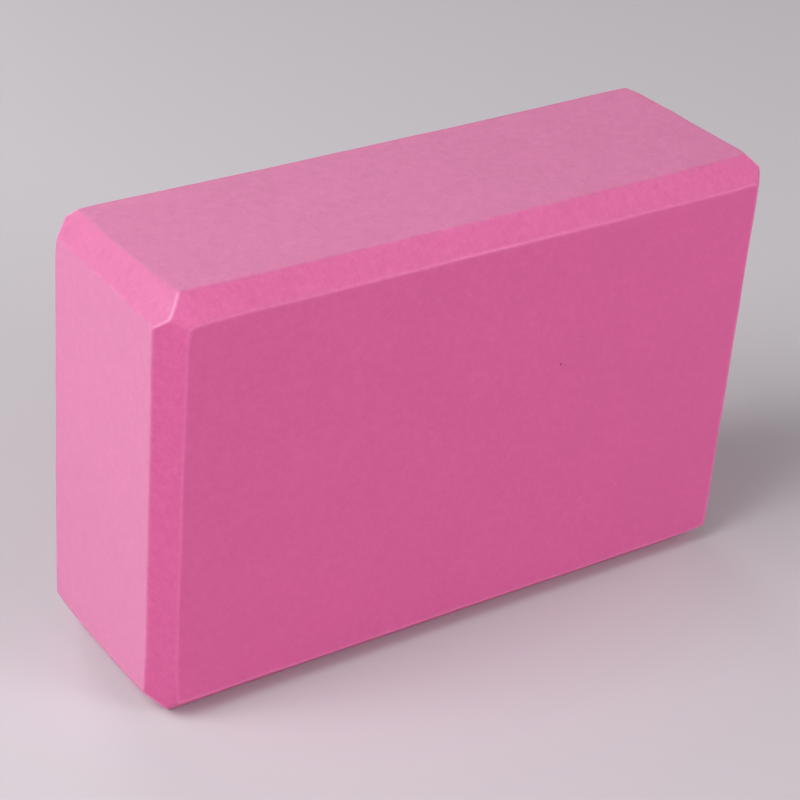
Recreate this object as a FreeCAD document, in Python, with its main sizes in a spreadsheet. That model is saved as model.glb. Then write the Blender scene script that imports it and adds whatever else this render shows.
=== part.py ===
import FreeCAD, Part
import os
import Sketcher

# Yoga block: one brick of firm closed-cell foam, standing on a long narrow side.
# A blank is sawn out of a thick foam sheet, a bevel cutter runs along its twelve edges, and the sharp
# arrises that are left get a slight rounding. The cutter runs straight through from end to end each time,
# so the three bevels at a corner meet in a mitred point and not in a flat facet.
# Lengths are millimetres. +X runs along the block, +Y through its thickness and +Z up, and the origin is
# the middle of the side that the block stands on.

# Driving dimensions: name, value, what it measures
DIMENSIONS = [
    ("block_length", 230.0, "end to end"),
    ("block_thickness", 76.0, "large face to large face"),
    ("block_height", 150.0, "lower narrow side to upper narrow side"),
    ("bevel_setback", 7.6, "how far a bevel reaches over each of the two faces that it joins"),
    ("arris_radius", 1.4, "rounding of each line where two faces or bevels meet"),
]

LENGTH_SIDES = ("-sizes.block_length / 2", "sizes.block_length / 2")
THICKNESS_SIDES = ("-sizes.block_thickness / 2", "sizes.block_thickness / 2")
HEIGHT_LEVELS = ("0", "sizes.block_height")

# The three runs of the bevel cutter: name, plane square to the run, and the blank's sides in that plane
BEVEL_PASSES = [
    ("bevels_along_length", "YZ_Plane", THICKNESS_SIDES, HEIGHT_LEVELS),
    ("bevels_along_thickness", "XZ_Plane", LENGTH_SIDES, HEIGHT_LEVELS),
    ("bevels_along_height", "XY_Plane", LENGTH_SIDES, THICKNESS_SIDES),
]

# From the lower of two sides the solid lies in the positive direction, from the upper in the negative
INWARD = (1, -1)

# A sketch counts its own axes and origin from minus one, so this is the origin point
SKETCH_ORIGIN = (-1, 1)

# Largest share by which the bevelled volume may differ from the one worked out by hand
VOLUME_TOLERANCE = 1e-6

doc = FreeCAD.newDocument("yoga_block")


def fill_sheet():
    """Writes each driving dimension on a row of its own: its name, its value and what it measures."""
    sheet = doc.addObject("Spreadsheet::Sheet", "sizes")
    for row, (name, value, meaning) in enumerate(DIMENSIONS, start=1):
        sheet.set(f"A{row}", name)
        sheet.set(f"B{row}", str(value))
        sheet.set(f"C{row}", meaning)
        sheet.setAlias(f"B{row}", name)
    doc.recompute()
    return sheet


def sketch_on(body, role, name):
    """Starts an empty sketch on one of the body's own origin planes."""
    plane = next(feature for feature in body.Origin.OriginFeatures if feature.Role == role)
    sketch = body.newObject("Sketcher::SketchObject", name)
    sketch.AttachmentSupport = [(plane, "")]
    sketch.MapMode = "FlatFace"
    return sketch


def closed_outline(sketch, corners):
    """Draws straight lines round the corners, joined end to end, and returns the lines' numbers."""
    lines = []
    for start, end in zip(corners, corners[1:] + corners[:1]):
        line = Part.LineSegment(FreeCAD.Vector(*start, 0), FreeCAD.Vector(*end, 0))
        lines.append(sketch.addGeometry(line, False))
    for line, following in zip(lines, lines[1:] + lines[:1]):
        sketch.addConstraint(Sketcher.Constraint("Coincident", line, 2, following, 1))
    return lines


def bind_distance(sketch, kind, name, start, end, expression):
    """Ties the signed distance between two points of a sketch, across or up, to an expression."""
    offset = sketch.getPoint(*end) - sketch.getPoint(*start)
    drawn = offset.x if kind == "DistanceX" else offset.y
    index = sketch.addConstraint(Sketcher.Constraint(kind, *start, *end, drawn))
    sketch.renameConstraint(index, name)
    sketch.setExpression(f"Constraints.{name}", expression)


def sawn_blank(body, sheet):
    """Saws the blank: a rectangle round the origin, carried up to the block's height."""
    half_length = sheet.block_length / 2
    half_thickness = sheet.block_thickness / 2
    sketch = sketch_on(body, "XY_Plane", "blank_outline")
    front, right, back, left = closed_outline(sketch, [
        (-half_length, -half_thickness),
        (half_length, -half_thickness),
        (half_length, half_thickness),
        (-half_length, half_thickness),
    ])
    for line in (front, back):
        sketch.addConstraint(Sketcher.Constraint("Horizontal", line))
    for line in (right, left):
        sketch.addConstraint(Sketcher.Constraint("Vertical", line))
    sketch.addConstraint(Sketcher.Constraint("Symmetric", front, 1, back, 1, *SKETCH_ORIGIN))
    bind_distance(sketch, "DistanceX", "length", (front, 1), (front, 2), "sizes.block_length")
    bind_distance(sketch, "DistanceY", "thickness", (right, 1), (right, 2), "sizes.block_thickness")
    blank = body.newObject("PartDesign::Pad", "sawn_blank")
    blank.Profile = sketch
    blank.setExpression("Length", "sizes.block_height")
    doc.recompute()


def bevel_pass(body, name, role, across, up):
    """Runs the bevel cutter along the four edges that stand square to one plane.

    In that plane each edge is a corner of a rectangle, whose sides lie at the two expressions across and
    the two up. The cut is a right-angled triangle there, with equal legs along the two sides.
    """
    sketch = sketch_on(body, role, f"{name}_outline")
    setback = sketch.evalExpression("sizes.bevel_setback")
    for side, (side_expression, inward) in enumerate(zip(across, INWARD)):
        for level, (level_expression, upward) in enumerate(zip(up, INWARD)):
            x = sketch.evalExpression(side_expression)
            y = sketch.evalExpression(level_expression)
            flat, slope, upright = closed_outline(sketch, [
                (x, y),
                (x + inward * setback, y),
                (x, y + upward * setback),
            ])
            edge = (flat, 1)
            tag = f"{side}_{level}"
            sketch.addConstraint(Sketcher.Constraint("Horizontal", flat))
            sketch.addConstraint(Sketcher.Constraint("Vertical", upright))
            bind_distance(sketch, "DistanceX", f"side_{tag}", SKETCH_ORIGIN, edge, side_expression)
            bind_distance(sketch, "DistanceY", f"level_{tag}", SKETCH_ORIGIN, edge, level_expression)
            bind_distance(sketch, "DistanceX", f"flat_leg_{tag}", edge, (flat, 2),
                          f"{inward} * sizes.bevel_setback")
            bind_distance(sketch, "DistanceY", f"upright_leg_{tag}", edge, (slope, 2),
                          f"{upward} * sizes.bevel_setback")
    cut = body.newObject("PartDesign::Pocket", name)
    cut.Profile = sketch
    cut.Type = "ThroughAll"
    cut.SideType = "Symmetric"
    doc.recompute()
    return cut


def rounded_arrises(body, bevelled):
    """Rounds every line where two faces or bevels meet, because cut foam keeps no sharp edge."""
    rounding = body.newObject("PartDesign::Fillet", "rounded_arrises")
    rounding.Base = (bevelled, ["Face1"])
    rounding.UseAllEdges = True
    rounding.setExpression("Radius", "sizes.arris_radius")
    doc.recompute()


def bevelled_volume(sheet):
    """Works out the volume that the three passes should leave.

    Each bevel takes half a square of the setback off its edge, along the edge's whole length. At a corner
    the three cuts overlap, and three quarters of a cube of the setback would be counted twice, which
    makes six cubes over the eight corners.
    """
    length, thickness, height = sheet.block_length, sheet.block_thickness, sheet.block_height
    setback = sheet.bevel_setback
    edge_length = 4 * (length + thickness + height)
    return length * thickness * height - edge_length * setback ** 2 / 2 + 6 * setback ** 3


def check_document():
    """Stops the script where an object of the document is left failed, or a body has no sound solid."""
    for item in doc.Objects:
        if "Invalid" in item.State or "Error" in item.State:
            raise RuntimeError(f"{item.Label} failed: {item.State}")
        if item.TypeId == "PartDesign::Body" and (item.Shape.isNull() or not item.Shape.isValid()):
            raise RuntimeError(f"{item.Label} has no sound solid")


sheet = fill_sheet()
body = doc.addObject("PartDesign::Body", "foam_block")
body.Label = "foam_block"
body.Placement = FreeCAD.Placement()
sawn_blank(body, sheet)
for name, role, across, up in BEVEL_PASSES:
    bevelled = bevel_pass(body, name, role, across, up)
cut_share = bevelled.Shape.Volume / bevelled_volume(sheet)
if abs(cut_share - 1) > VOLUME_TOLERANCE:
    raise RuntimeError(f"the bevel passes leave {cut_share:.6f} of the volume that they should")
rounded_arrises(body, bevelled)
check_document()

os.makedirs("parts", exist_ok=True)
body.Shape.exportStep(f"parts/{body.Label}.step")
box = body.Shape.BoundBox
print(f"{body.Label}: {box.XLength:.3f} x {box.YLength:.3f} x {box.ZLength:.3f} mm, "
      f"{body.Shape.Volume / 1000:.2f} cm3, {len(body.Shape.Solids)} solid, {len(body.Shape.Faces)} faces")
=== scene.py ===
import math
import bpy
import numpy as np
from mathutils import Matrix, Vector


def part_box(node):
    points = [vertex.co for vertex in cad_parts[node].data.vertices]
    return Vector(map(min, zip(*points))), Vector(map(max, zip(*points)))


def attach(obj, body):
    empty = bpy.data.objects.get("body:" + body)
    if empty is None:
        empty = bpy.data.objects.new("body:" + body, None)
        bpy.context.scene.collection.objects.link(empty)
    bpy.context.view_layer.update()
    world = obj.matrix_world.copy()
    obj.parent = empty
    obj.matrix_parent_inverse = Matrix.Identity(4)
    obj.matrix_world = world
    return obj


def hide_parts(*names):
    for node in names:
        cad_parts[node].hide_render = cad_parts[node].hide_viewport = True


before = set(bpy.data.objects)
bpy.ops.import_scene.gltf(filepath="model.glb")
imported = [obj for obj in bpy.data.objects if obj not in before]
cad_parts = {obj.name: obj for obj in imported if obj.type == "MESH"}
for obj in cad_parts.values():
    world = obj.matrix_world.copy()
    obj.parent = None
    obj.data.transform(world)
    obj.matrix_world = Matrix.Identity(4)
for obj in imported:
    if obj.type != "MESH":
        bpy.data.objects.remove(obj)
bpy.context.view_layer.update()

# Foam block
# One brick of firm closed-cell EVA foam, sawn whole out of a thick sheet. A router has bevelled its twelve
# edges. The foam gives under the cutter, so no bevel is quite even and no arris is quite sharp or straight.

MM = 0.001
low, high = (np.array(corner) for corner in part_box("foam_block"))
bevel_setback = 7.6 * MM
arris_softness = 0.19 * MM
mitre_softness = 0.20 * MM
core_depth = 14 * MM

# The block's six sides in order: left end, right end, front, back, base, top. An edge is a pair of them,
# and it runs along the axis, x, y or z, that neither of the two faces.
LEFT, RIGHT, FRONT, BACK, BASE, TOP = range(6)
EDGES = [(a, b) for a in range(6) for b in range(a + 1, 6) if a // 2 != b // 2]
EDGE_AXES = np.array([3 - a // 2 - b // 2 for a, b in EDGES])

# How much further than its nominal setback a bevel reaches over its edge's second side and over its first,
# in millimetres: at the edge's low end, its middle and its high end
BEVEL_STRAY = {
    (LEFT, TOP): [(3.0, 1.2), (-0.6, 0.4), (-0.3, -0.15)],
    (FRONT, TOP): [(1.0, -0.6), (-0.4, -0.35), (1.0, -0.1)],
    (LEFT, FRONT): [(-1.4, 0.1), (-0.65, 0.1), (-0.1, 0.1)],
    (FRONT, BASE): [(-0.4, -0.05), (-0.5, -0.25), (-1.2, -1.1)],
    (LEFT, BASE): [(0.0, 0.8), (0.0, 0.4), (0.0, 0.4)],
    (LEFT, BACK): [(0.0, -0.2), (0.0, -0.45), (0.0, 0.0)],
    (BACK, TOP): [(0.2, 0.0), (0.6, 0.0), (-1.2, 0.0)],
    (RIGHT, TOP): [(-0.6, 0.0), (-0.3, 0.0), (2.1, 0.0)],
    (RIGHT, FRONT): [(0.0, -0.4), (0.0, -0.2), (0.0, -0.4)],
}
no_stray = [(0.0, 0.0)] * 3

# The extra flare at the edge's low end and at its high end, where the cutter comes on or goes off: over the
# second side, over the first, and how far along the edge it spreads, all in millimetres
CORNER_FLARE = {
    (LEFT, TOP): [(-0.5, 0.8, 7.5), (0.6, 0.6, 7.5)],
    (FRONT, TOP): [(2.0, 3.7, 7.5), (0.0, -0.6, 12.0)],
    (LEFT, FRONT): [(1.9, 1.3, 20.0), (2.4, -1.3, 7.5)],
    (FRONT, BASE): [(0.8, 0.8, 7.5), (2.4, 0.8, 12.0)],
    (LEFT, BASE): [(1.8, 2.6, 7.5), (1.0, 3.0, 15.0)],
    (LEFT, BACK): [(1.0, 1.0, 7.5), (2.0, 3.4, 7.5)],
    (RIGHT, TOP): [(0.8, 0.8, 7.5), (1.5, 1.0, 7.5)],
    (RIGHT, FRONT): [(0.8, -0.4, 9.0), (0.8, 2.0, 7.5)],
}
usual_flare = [(0.8, 0.8, 7.5)] * 2

# The length and height of each wave that makes a bevel's reach wander, and how much more those wander that
# the cutter made across the ends
WANDER_WAVES = [(83 * MM, 0.08 * MM), (37 * MM, 0.06 * MM), (15 * MM, 0.05 * MM), (6.5 * MM, 0.03 * MM)]
end_wander = 2.5


def grid_rows(length):
    """Places of the grid lines across one side, from 0 to its length.

    The lines stand closer together over the bevels and closest at the arrises: their density over the
    distance from the nearer edge is a constant, plus a step that ends past the bevel, plus a bell curve
    centred on the arris. Lines are set at equal steps of the density's running sum.
    """
    flat_lines = 0.12 / MM
    bevel_lines = 3.0 / MM
    arris_lines = 2.5 / MM
    arris_width = 2.0 * MM
    step_place = bevel_setback + 3.4 * MM
    step_width = 0.6 * MM
    samples = 8001
    place = np.linspace(0, length, samples)
    edge = np.minimum(place, length - place)
    density = flat_lines + bevel_lines / (1 + np.exp((edge - step_place) / step_width))
    density += arris_lines * np.exp(-((edge - bevel_setback) / arris_width) ** 2)
    running = np.concatenate([[0], np.cumsum((density[1:] + density[:-1]) / 2 * np.diff(place))])
    count = 2 * round(running[-1] / 2)
    return np.interp(np.linspace(0, running[-1], count + 1), running, place)


def box_lattice(rows):
    """Points of the sharp box's skin on a lattice, and the quads between them.

    Each side is a grid of two of the three row lists, at the first or last row of the third. A point's
    lattice numbers make one key, so that points on an edge that two sides share become one.
    """
    counts = [len(row) for row in rows]
    keys, quads = [], []
    for axis in range(3):
        for end in (0, counts[axis] - 1):
            across, up = (axis + 1) % 3, (axis + 2) % 3
            i, j = np.meshgrid(np.arange(counts[across]), np.arange(counts[up]), indexing="ij")
            lattice = [None, None, None]
            lattice[axis], lattice[across], lattice[up] = np.full_like(i, end), i, j
            key = (lattice[0] * counts[1] + lattice[1]) * counts[2] + lattice[2]
            corners = [key[:-1, :-1], key[1:, :-1], key[1:, 1:], key[:-1, 1:]]
            quad = np.stack(corners, axis=-1).reshape(-1, 4)
            quads.append(quad if end else quad[:, ::-1])
            keys.append(key.ravel())
    unique, quads = np.unique(np.concatenate(keys)), np.concatenate(quads)
    places = np.unravel_index(unique, counts)
    points = np.stack([rows[axis][places[axis]] for axis in range(3)], axis=-1)
    return points, np.searchsorted(unique, quads)


def wander(place, waves, seed):
    """A smooth uneven line: the sum of sine waves of the given lengths and heights, at random phases."""
    phases = np.random.default_rng(seed).uniform(0, 2 * np.pi, len(waves))
    return sum(height * np.sin(2 * np.pi * place / length + phase)
               for (length, height), phase in zip(waves, phases))


def side_depths(points):
    """How far each point lies inside each of the six sides of the sharp box."""
    return np.stack([points[:, 0] - low[0], high[0] - points[:, 0], points[:, 1] - low[1],
                     high[1] - points[:, 1], points[:, 2] - low[2], high[2] - points[:, 2]])


def bevel_reach(number, side, points):
    """How far a bevel reaches in from its edge at each point's place along it, over one of its two sides.

    It is the nominal setback, plus a parabola through the strays at the edge's two ends and middle, plus a
    bell curve of flare at each end, plus a slight wander.
    """
    edge, axis = EDGES[number], EDGE_AXES[number]
    run = points[:, axis] - low[axis]
    length = high[axis] - low[axis]
    stray_low, stray_middle, stray_high = (pair[side] for pair in BEVEL_STRAY.get(edge, no_stray))
    (flare_low, spread_low), (flare_high, spread_high) = (
        (flare[side], flare[2] * MM) for flare in CORNER_FLARE.get(edge, usual_flare))
    share = run / length
    stray = stray_low * (1 - share) * (1 - 2 * share) + stray_high * share * (2 * share - 1)
    reach = bevel_setback + MM * (stray + stray_middle * 4 * share * (1 - share))
    reach = reach + MM * flare_low * np.exp(-(run / spread_low) ** 2)
    reach = reach + MM * flare_high * np.exp(-((length - run) / spread_high) ** 2)
    return reach + wander(run, WANDER_WAVES, 2 * number + side) * (end_wander if axis == 1 else 1.0)


def surface_heights(points):
    """How far each point stands out of each of the block's planes: six sides, then twelve bevels.

    A bevel leaves the two sides that it joins at its reaches, so a point on it has depth over reach from
    one side, plus depth over reach from the other, equal to one.
    """
    depths = side_depths(points)
    heights = [-depth for depth in depths]
    for number, (first, second) in enumerate(EDGES):
        first_reach = bevel_reach(number, 0, points)
        second_reach = bevel_reach(number, 1, points)
        steepness = np.hypot(1 / first_reach, 1 / second_reach)
        heights.append((1 - depths[first] / first_reach - depths[second] / second_reach) / steepness)
    return np.stack(heights)


def soft_greatest(heights, softness):
    """The soft greatest of several heights at each point, and the share that each has in it.

    It is the logarithm of the sum of the heights' exponentials: the plain greatest where one stands well
    above the rest, and rounded over where two or three are near each other.
    """
    greatest = heights.max(axis=0)
    powers = np.exp((heights - greatest) / softness)
    total = powers.sum(axis=0)
    return greatest + np.log(total) * softness, powers / total


def rounded_height(points):
    """A height that is zero on the block's surface, and the share of each side and bevel in it.

    The twelve bevels are rounded into each other first, by the mitres' softness. The result and the six
    sides are then rounded into each other, by the arrises' softness.
    """
    heights = surface_heights(points)
    mitred, bevel_parts = soft_greatest(heights[6:], mitre_softness)
    height, parts = soft_greatest(np.concatenate([heights[:6], mitred[None]]), arris_softness)
    return height, np.concatenate([parts[:6], parts[6] * bevel_parts])


def foam_skin():
    """The block's surface: each point of the sharp box is drawn straight in to the rounded surface.

    It moves along the line from a core box, a fixed depth inside, whose nearest point is where the line
    starts. The place on that line is found by halving the stretch that holds it.
    """
    halvings = 40
    points, quads = box_lattice([grid_rows(side) for side in high - low])
    points = points + low
    start = np.clip(points, low + core_depth, high - core_depth)
    inner, outer = np.zeros(len(points)), np.ones(len(points))
    for _ in range(halvings):
        middle = (inner + outer) / 2
        outside = rounded_height(start + (points - start) * middle[:, None])[0] > 0
        outer = np.where(outside, middle, outer)
        inner = np.where(outside, inner, middle)
    skin = start + (points - start) * inner[:, None]
    return skin, quads, rounded_height(skin)[1]


def build_mesh(name, points, quads):
    """Makes an object at the origin from arrays of points and of quads, with smooth shading."""
    mesh = bpy.data.meshes.new(name)
    mesh.vertices.add(len(points))
    mesh.vertices.foreach_set("co", points.astype(np.float32).ravel())
    mesh.loops.add(quads.size)
    mesh.loops.foreach_set("vertex_index", quads.astype(np.int32).ravel())
    mesh.polygons.add(len(quads))
    mesh.polygons.foreach_set("loop_start", np.arange(0, quads.size, 4, dtype=np.int32))
    mesh.update(calc_edges=True)
    mesh.shade_smooth()
    obj = bpy.data.objects.new(name, mesh)
    bpy.context.scene.collection.objects.link(obj)
    return obj


def add_attribute(obj, name, kind, values):
    """Keeps one value, or one vector, for each point of an object's mesh."""
    attribute = obj.data.attributes.new(name, kind, "POINT")
    field = "vector" if kind == "FLOAT_VECTOR" else "value"
    attribute.data.foreach_set(field, values.astype(np.float32).ravel())


skin, quads, shares = foam_skin()
block = build_mesh("foam_block_skin", skin, quads)

# What each point lies on: how much of a bevel along each axis, how pale and how coarse the saw or the
# cutter has left it, and how near it is to an arris of the two large faces or to a mitre of the end
# bevels. The arris and mitre shares carry a painted highlight, which is stronger on the large faces' lower
# arrises, next to the floor.
side_shares, bevel_shares = shares[:6], shares[6:]
end_share, broad_share, narrow_share = side_shares.reshape(3, 2, -1).sum(axis=1)
bevel_run = np.stack([bevel_shares[EDGE_AXES == axis].sum(axis=0) for axis in range(3)], axis=-1)
bevel_share = bevel_run.sum(axis=-1)
lower_bevel_share = sum(bevel_shares[EDGES.index(edge)] for edge in ((FRONT, BASE), (BACK, BASE)))

narrow_pale = 0.9
bevel_pale = (0.22, 0.6, 0.05)
end_coarse = 0.4
broad_coarse = 0.2
bevel_coarse = 0.45
# The large faces' lower arrises get this many times the arris share, so more painted highlight and a
# smoother finish
lower_arris_weight = 1.2
pale = end_share + narrow_pale * narrow_share + bevel_run @ bevel_pale
coarse = end_coarse * end_share + broad_coarse * broad_share + narrow_share + bevel_coarse * bevel_share
arris = 2 * broad_share * (bevel_share + lower_arris_weight * lower_bevel_share)
mitre = 2 * bevel_run[:, 1] * (bevel_run[:, 0] + bevel_run[:, 2])
add_attribute(block, "bevel_run", "FLOAT_VECTOR", bevel_run)
finish_and_highlight = {"pale": pale, "coarse": coarse, "arris": arris, "mitre": mitre}
for mask_name, mask_values in finish_and_highlight.items():
    add_attribute(block, mask_name, "FLOAT", mask_values)

foam_pink = (0.62, 0.092, 0.277)
bare_white = (0.88, 0.85, 0.97, 1.0)
flat_roughness = 0.62
arris_roughness = 0.45
foam = bpy.data.materials.new("pink_foam")
foam.use_nodes = True
tree = foam.node_tree
shader = tree.nodes["Principled BSDF"]


def add_node(tree, kind, sockets, **settings):
    """Adds a node with its settings, and sets each socket, by name or number, to a value or a link."""
    node = tree.nodes.new(kind)
    for name, value in settings.items():
        setattr(node, name, value)
    for name, value in sockets.items():
        if isinstance(value, bpy.types.NodeSocket):
            tree.links.new(value, node.inputs[name])
        else:
            node.inputs[name].default_value = value
    return node


def combine(tree, operation, first, second, third=0.0):
    """The result of one arithmetic step on two or three values or links."""
    return add_node(tree, "ShaderNodeMath", {0: first, 1: second, 2: third}, operation=operation).outputs[0]


def combine_vectors(tree, operation, sockets, output=0):
    """One output of an arithmetic step on vectors."""
    return add_node(tree, "ShaderNodeVectorMath", sockets, operation=operation).outputs[output]


def weighted_sum(tree, start, terms):
    """A start value, plus each term's value times its weight."""
    total = start
    for value, weight in terms:
        total = combine(tree, "MULTIPLY_ADD", value, weight, total)
    return total


def fade(tree, value, start, stop, first, last, kind="SMOOTHSTEP"):
    """Turns from first to last as a value goes from start to stop, along an S curve or a straight line."""
    sockets = {0: value, 1: start, 2: stop, 3: first, 4: last}
    return add_node(tree, "ShaderNodeMapRange", sockets, interpolation_type=kind).outputs[0]


def noise(tree, place, scale, detail, roughness=0.5):
    """Smooth noise about zero, from about -0.5 to 0.5.

    Its lumps are one over scale apart. Each step of detail adds lumps of half the size, whose height is the
    roughness times that of the step before.
    """
    sockets = {"Vector": place, "Scale": scale, "Detail": detail, "Roughness": roughness}
    return combine(tree, "SUBTRACT", add_node(tree, "ShaderNodeTexNoise", sockets).outputs[0], 0.5)


def attribute_output(tree, name, output):
    """One output of a mesh attribute."""
    return add_node(tree, "ShaderNodeAttribute", {}, attribute_name=name).outputs[output]


metres = add_node(tree, "ShaderNodeTexCoord", {}).outputs["Object"]
place = combine_vectors(tree, "SCALE", {0: metres, "Scale": 1 / MM})
run_weights = attribute_output(tree, "bevel_run", "Vector")
pale_share = attribute_output(tree, "pale", "Fac")
coarse_share = attribute_output(tree, "coarse", "Fac")
arris_share = attribute_output(tree, "arris", "Fac")
mitre_share = attribute_output(tree, "mitre", "Fac")

# Cut cells and their clumps, and the slow drift of the colour through the sheet
grain = noise(tree, place, scale=0.35, detail=5.0, roughness=0.9)
drift = noise(tree, place, scale=0.03, detail=2.0)

# Chatter of the cutter: lumps drawn out across each bevel and short along it, weak on the upright bevels,
# and fading out at the mitres. They are counted per millimetre.
lumps_across = (0.14, 0.14, 0.14)
more_along = (0.6, 0.6, 0.6)
chatter_strength = (1.0, 1.0, 0.35)
stretch = combine_vectors(tree, "MULTIPLY_ADD", {0: run_weights, 1: more_along, 2: lumps_across})
drawn_out = combine_vectors(tree, "MULTIPLY", {0: place, 1: stretch})
chatter_share = combine_vectors(tree, "DOT_PRODUCT", {0: run_weights, 1: chatter_strength}, "Value")
chatter_share = weighted_sum(tree, chatter_share, [(mitre_share, -2.0)])
chatter_share = combine(tree, "MAXIMUM", chatter_share, 0.0)
chatter = combine(tree, "MULTIPLY", noise(tree, drawn_out, scale=1.0, detail=2.0), chatter_share)

# One cell in four has burst into an open pit, deepest at its middle. The pits' darkening of the colour
# is painted shade.
whole_share = 0.75
cells = add_node(tree, "ShaderNodeTexVoronoi", {"Vector": place, "Scale": 0.8})
pit_shape = fade(tree, cells.outputs["Distance"], start=0.08, stop=0.3, first=1.0, last=0.0)
cell_chance = add_node(tree, "ShaderNodeSeparateColor", {0: cells.outputs["Color"]}).outputs[0]
pits = combine(tree, "MULTIPLY", pit_shape, combine(tree, "GREATER_THAN", cell_chance, whole_share))

# Specks of grit pressed into the front, and faint rubbed streaks on the left end: place and half sizes in
# millimetres, and how much darker they are
left_x = low[0] / MM
front_y = low[1] / MM
MARKS = [
    ((31.9, front_y, 94.0), (0.75, 0.75, 0.75), 0.52),
    ((33.75, front_y, 93.05), (0.42, 0.42, 0.42), 0.35),
    ((39.5, front_y, 102.45), (0.45, 0.45, 0.45), 0.4),
    ((left_x, 10.4, 42.9), (1.5, 1.3, 5.0), 0.05),
    ((left_x, 1.5, 38.7), (1.5, 1.2, 4.0), 0.05),
]


def mark_depth(tree, place, middle, half_sizes, depth):
    """A soft spot: full depth round its middle, falling to nothing on an ellipsoid of the half sizes."""
    away = combine_vectors(tree, "SUBTRACT", {0: place, 1: middle})
    share = combine_vectors(tree, "DIVIDE", {0: away, 1: half_sizes})
    reach = combine_vectors(tree, "LENGTH", {0: share}, "Value")
    return fade(tree, reach, start=0.3, stop=1.0, first=depth, last=0.0)


marks = 0.0
for middle, half_sizes, depth in MARKS:
    marks = combine(tree, "ADD", mark_depth(tree, place, middle, half_sizes, depth), marks)

# How light the pink is: each effect with its weight. The arris and mitre terms are a painted highlight,
# and the pits' term paints shade into them.
grain_contrast = weighted_sum(tree, 0.2, [(coarse_share, 0.35)])
level = combine(tree, "MULTIPLY_ADD", grain, grain_contrast, 1.0)
level = weighted_sum(tree, level, [(drift, 0.07), (chatter, 0.14), (pits, -0.04), (marks, -1.0),
                                   (arris_share, 0.2), (mitre_share, 0.28)])
pink = combine_vectors(tree, "SCALE", {0: foam_pink, "Scale": level})

# The sawn sides are hazed over with torn cell walls, and a pale painted highlight is laid along the arrises
# and the end bevels' mitres
haze_contrast = weighted_sum(tree, 0.07, [(coarse_share, 0.06)])
haze_and_highlight = combine(tree, "MULTIPLY", grain, haze_contrast)
haze_and_highlight = weighted_sum(tree, haze_and_highlight, [(pale_share, 0.155), (arris_share, 0.06), (mitre_share, 0.24)])
hazed_and_highlit = add_node(tree, "ShaderNodeMix", {0: haze_and_highlight, 6: pink, 7: bare_white}, data_type="RGBA")
foam_colour = hazed_and_highlit.outputs[2]

# The rolled arrises and the mitres are pressed smoother than the flats
roughness = fade(tree, arris_share, start=0.0, stop=0.5, first=flat_roughness, last=arris_roughness,
                 kind="LINEAR")
roughness = weighted_sum(tree, roughness, [(mitre_share, -0.45), (grain, 0.3)])

# Height of the surface's fine relief, in millimetres
relief = weighted_sum(tree, 0.0, [(grain, 0.12), (chatter, 0.10), (pits, -0.05)])
bump = add_node(tree, "ShaderNodeBump", {"Distance": MM, "Height": relief})

tree.links.new(foam_colour, shader.inputs["Base Color"])
tree.links.new(roughness, shader.inputs["Roughness"])
tree.links.new(bump.outputs[0], shader.inputs["Normal"])
shader.inputs["IOR"].default_value = 1.45

block.data.materials.append(foam)
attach(block, "root")
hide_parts("foam_block")

# Floor
# A wide sheet of plain pale board with a matt face, laid flat. The block stands on it loose, on one of its
# long narrow sides.

floor_half_width = 6.0
floor_pale = (0.585, 0.554, 0.584, 1.0)
floor_corners = np.array([[-1, -1, 0], [1, -1, 0], [1, 1, 0], [-1, 1, 0]]) * floor_half_width
floor = build_mesh("floor", floor_corners, np.array([[0, 1, 2, 3]]))
board = bpy.data.materials.new("pale_board")
board.use_nodes = True
board_shader = board.node_tree.nodes["Principled BSDF"]
board_shader.inputs["Base Color"].default_value = floor_pale
board_shader.inputs["Roughness"].default_value = 0.6
board_shader.inputs["Specular IOR Level"].default_value = 0.15
floor.data.materials.append(board)

# Light
# Two square lamps on the left give the main light. Others, low in front, on the right and behind, and an
# even pale surround fill the shadows. None of the lamps shows in the picture.

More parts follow.
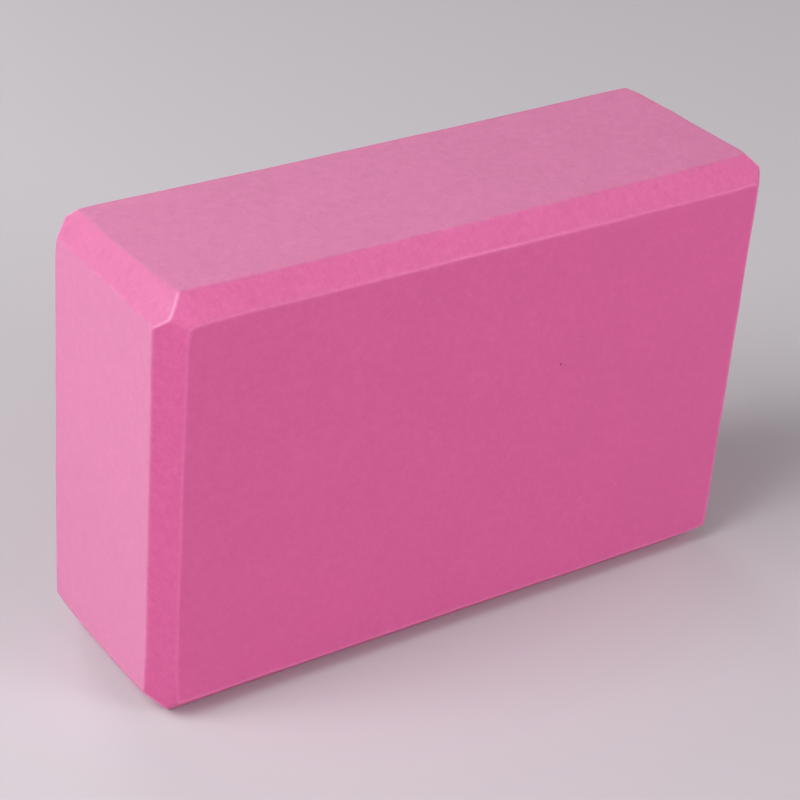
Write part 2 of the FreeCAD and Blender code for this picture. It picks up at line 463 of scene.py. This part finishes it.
# Each lamp's name, azimuth and elevation in degrees, distance and width in metres, and power in watts
LAMPS = [
    ("left_panel", -90, 35, 1.1, 1.7, 6.7),
    ("left_window", -90, 43, 2.5, 1.7, 53.0),
    ("front_right_fill", 30, 15, 4.0, 2.0, 83.5),
    ("right_fill", 45, 35, 2.5, 1.7, 8.5),
    ("back_fill", 170, 10, 4.0, 1.0, 44.0),
    ("right_end_fill", 100, 8, 4.0, 1.0, 20.0),
]
block_middle = Vector((low + high) / 2)


def add_lamp(name, azimuth, elevation, distance, width, power):
    """A square lamp that faces the block's middle, from an azimuth counted from the front to the right."""
    turn, lift = math.radians(azimuth), math.radians(elevation)
    towards = Vector((math.sin(turn) * math.cos(lift), -math.cos(turn) * math.cos(lift), math.sin(lift)))
    lamp = bpy.data.objects.new(name, bpy.data.lights.new(name, "AREA"))
    lamp.data.size = width
    lamp.data.energy = power
    lamp.location = block_middle + towards * distance
    lamp.rotation_mode = "QUATERNION"
    lamp.rotation_quaternion = towards.to_track_quat("Z", "Y")
    lamp.visible_camera = False
    bpy.context.scene.collection.objects.link(lamp)


for lamp_values in LAMPS:
    add_lamp(*lamp_values)

world = bpy.data.worlds.new("surround")
world.use_nodes = True
surround = world.node_tree.nodes["Background"]
surround.inputs["Color"].default_value = (1.0, 1.0, 1.0, 1.0)
surround.inputs["Strength"].default_value = 0.1
bpy.context.scene.world = world
bpy.context.scene.view_settings.view_transform = "Standard"

# Camera
# It stands where the photograph was taken from: in front, to the left and above. Its lens is long, and it
# is turned a little about its own line of sight.

camera_place = Vector((-405.6, -549.9, 476.9)) * MM
camera_target = Vector((-3.55, 0.0, 69.8)) * MM
camera_roll = math.radians(4.67)
camera = bpy.data.objects.new("camera", bpy.data.cameras.new("camera"))
camera.data.sensor_width = 36.0
camera.data.lens = 107.4
aim = (camera_target - camera_place).to_track_quat("-Z", "Y").to_matrix()
turned = aim @ Matrix.Rotation(camera_roll, 3, "Z")
camera.matrix_world = Matrix.Translation(camera_place) @ turned.to_4x4()
bpy.context.scene.collection.objects.link(camera)
bpy.context.scene.camera = camera
